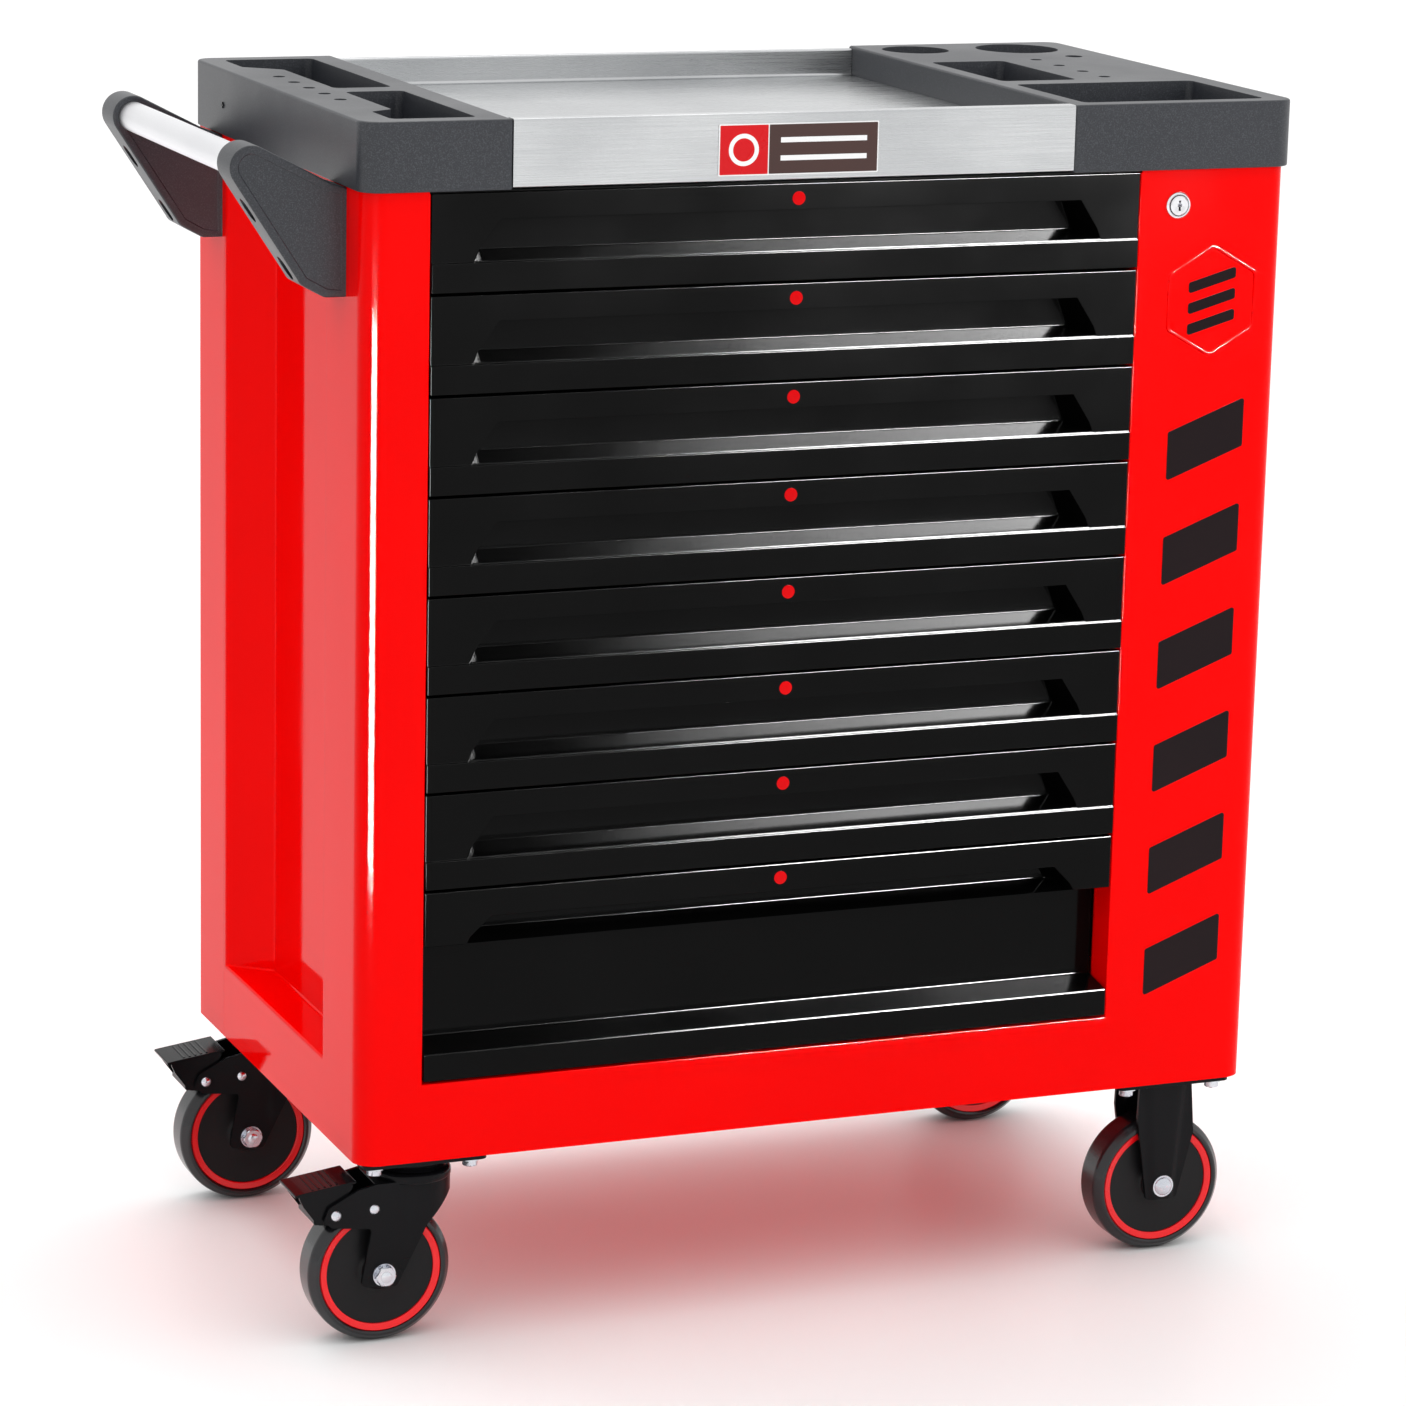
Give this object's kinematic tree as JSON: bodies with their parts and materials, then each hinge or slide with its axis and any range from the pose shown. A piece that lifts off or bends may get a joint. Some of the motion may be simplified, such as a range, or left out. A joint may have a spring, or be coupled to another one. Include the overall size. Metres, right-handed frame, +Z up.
{
  "type": "rolling tool chest",
  "caption": "Rolling tool chest: painted sheet-steel cabinet on casters with sliding drawers, a steel worktop between two plastic trays, a side push handle and a central lock.",
  "frame": {"origin": "centre of the bounding box, on the ground", "axes": "+X to the right seen from the drawer side, +Y from the drawer side to the back, +Z up"},
  "size_m": [0.877, 0.451, 0.976],
  "materials": {
    "red_paint": "gloss powder coat",
    "black_paint": "semi-gloss powder coat",
    "grey_plastic": "fine moulded texture",
    "worktop_steel": "brushed along its length",
    "zinc": "bright zinc plate",
    "aluminium": "silver anodised",
    "chrome": "polished",
    "tyre": "smooth polyurethane",
    "wheel_plastic": "satin, with a red ring",
    "badge": "blank gloss plate"
  },
  "bodies": {
    "cabinet": {"side_panel_left": "red_paint", "side_panel_right": "red_paint", "back_panel": "red_paint", "base_pan": "red_paint", "front_rail": "red_paint", "top_deck": "black_paint", "slide_rack_left": "zinc", "slide_rack_right": "zinc", "lock_housing": "chrome", "tray_left": "grey_plastic", "tray_right": "grey_plastic", "handle_bracket_front": "grey_plastic", "handle_bracket_rear": "grey_plastic", "worktop": "worktop_steel", "badge_plate": "badge", "handle_grip": "aluminium", "handle_screw_1": "zinc", "handle_screw_2": "zinc", "handle_screw_3": "zinc", "handle_screw_4": "zinc", "caster_plate_front_left": "black_paint", "caster_fork_front_right": "black_paint", "axle_front_right": "zinc", "caster_plate_rear_left": "black_paint", "caster_fork_rear_right": "black_paint", "axle_rear_right": "zinc"},
    "drawer_1": {"drawer_front_1": "black_paint", "drawer_box_1": "black_paint"},
    "drawer_2": {"drawer_front_2": "black_paint", "drawer_box_2": "black_paint"},
    "drawer_3": {"drawer_front_3": "black_paint", "drawer_box_3": "black_paint"},
    "drawer_4": {"drawer_front_4": "black_paint", "drawer_box_4": "black_paint"},
    "drawer_5": {"drawer_front_5": "black_paint", "drawer_box_5": "black_paint"},
    "drawer_6": {"drawer_front_6": "black_paint", "drawer_box_6": "black_paint"},
    "drawer_7": {"drawer_front_7": "black_paint", "drawer_box_7": "black_paint"},
    "drawer_8": {"drawer_front_8": "black_paint", "drawer_box_8": "black_paint"},
    "lock_plug": {"lock_plug": "chrome"},
    "lock_bar": {"lock_bar": "zinc"},
    "caster_front_left": {"caster_fork_front_left": "black_paint", "axle_front_left": "zinc"},
    "brake_front_left": {"brake_pedal_front_left": "black_paint"},
    "wheel_front_left": {"wheel_core_front_left": "wheel_plastic", "tyre_front_left": "tyre"},
    "wheel_front_right": {"wheel_core_front_right": "wheel_plastic", "tyre_front_right": "tyre"},
    "caster_rear_left": {"caster_fork_rear_left": "black_paint", "axle_rear_left": "zinc"},
    "brake_rear_left": {"brake_pedal_rear_left": "black_paint"},
    "wheel_rear_left": {"wheel_core_rear_left": "wheel_plastic", "tyre_rear_left": "tyre"},
    "wheel_rear_right": {"wheel_core_rear_right": "wheel_plastic", "tyre_rear_right": "tyre"}
  },
  "joints": [
    {"name": "drawer_1_slide", "type": "slide", "parent": "cabinet", "child": "drawer_1", "axis": [0, -1, 0], "range_m": [0, 0.35]},
    {"name": "drawer_2_slide", "type": "slide", "parent": "cabinet", "child": "drawer_2", "axis": [0, -1, 0], "range_m": [0, 0.35]},
    {"name": "drawer_3_slide", "type": "slide", "parent": "cabinet", "child": "drawer_3", "axis": [0, -1, 0], "range_m": [0, 0.35]},
    {"name": "drawer_4_slide", "type": "slide", "parent": "cabinet", "child": "drawer_4", "axis": [0, -1, 0], "range_m": [0, 0.35]},
    {"name": "drawer_5_slide", "type": "slide", "parent": "cabinet", "child": "drawer_5", "axis": [0, -1, 0], "range_m": [0, 0.35]},
    {"name": "drawer_6_slide", "type": "slide", "parent": "cabinet", "child": "drawer_6", "axis": [0, -1, 0], "range_m": [0, 0.35]},
    {"name": "drawer_7_slide", "type": "slide", "parent": "cabinet", "child": "drawer_7", "axis": [0, -1, 0], "range_m": [0, 0.35]},
    {"name": "drawer_8_slide", "type": "slide", "parent": "cabinet", "child": "drawer_8", "axis": [0, -1, 0], "range_m": [0, 0.35]},
    {"name": "lock_turn", "type": "hinge", "parent": "cabinet", "child": "lock_plug", "pos_m": [0.33648, -0.2205, 0.8935], "axis": [0, -1, 0], "range_deg": [0, 90]},
    {"name": "lock_bar_shift", "type": "slide", "parent": "cabinet", "child": "lock_bar", "axis": [-1, 0, 0], "range_m": [0, 0.008]},
    {"name": "caster_swivel_front_left", "type": "hinge", "parent": "cabinet", "child": "caster_front_left", "pos_m": [-0.28952, -0.1805, 0.14], "axis": [0, 0, 1], "continuous": true},
    {"name": "brake_front_left_press", "type": "hinge", "parent": "caster_front_left", "child": "brake_front_left", "pos_m": [-0.35951, -0.1805, 0.112], "axis": [0, -1, 0], "range_deg": [0, 12]},
    {"name": "wheel_front_left_spin", "type": "hinge", "parent": "caster_front_left", "child": "wheel_front_left", "pos_m": [-0.31951, -0.1805, 0.059], "axis": [0, 1, 0], "continuous": true},
    {"name": "wheel_front_right_spin", "type": "hinge", "parent": "cabinet", "child": "wheel_front_right", "pos_m": [0.37149, -0.1805, 0.059], "axis": [0, 1, 0], "continuous": true},
    {"name": "caster_swivel_rear_left", "type": "hinge", "parent": "cabinet", "child": "caster_rear_left", "pos_m": [-0.28952, 0.1815, 0.14], "axis": [0, 0, 1], "continuous": true},
    {"name": "brake_rear_left_press", "type": "hinge", "parent": "caster_rear_left", "child": "brake_rear_left", "pos_m": [-0.35951, 0.1815, 0.112], "axis": [0, -1, 0], "range_deg": [0, 12]},
    {"name": "wheel_rear_left_spin", "type": "hinge", "parent": "caster_rear_left", "child": "wheel_rear_left", "pos_m": [-0.31951, 0.1815, 0.059], "axis": [0, 1, 0], "continuous": true},
    {"name": "wheel_rear_right_spin", "type": "hinge", "parent": "cabinet", "child": "wheel_rear_right", "pos_m": [0.37149, 0.1815, 0.059], "axis": [0, 1, 0], "continuous": true}
  ],
  "couplings": [
    {"joint": "lock_turn", "follows": "lock_bar_shift", "rad_per_m": 196.34}
  ]
}
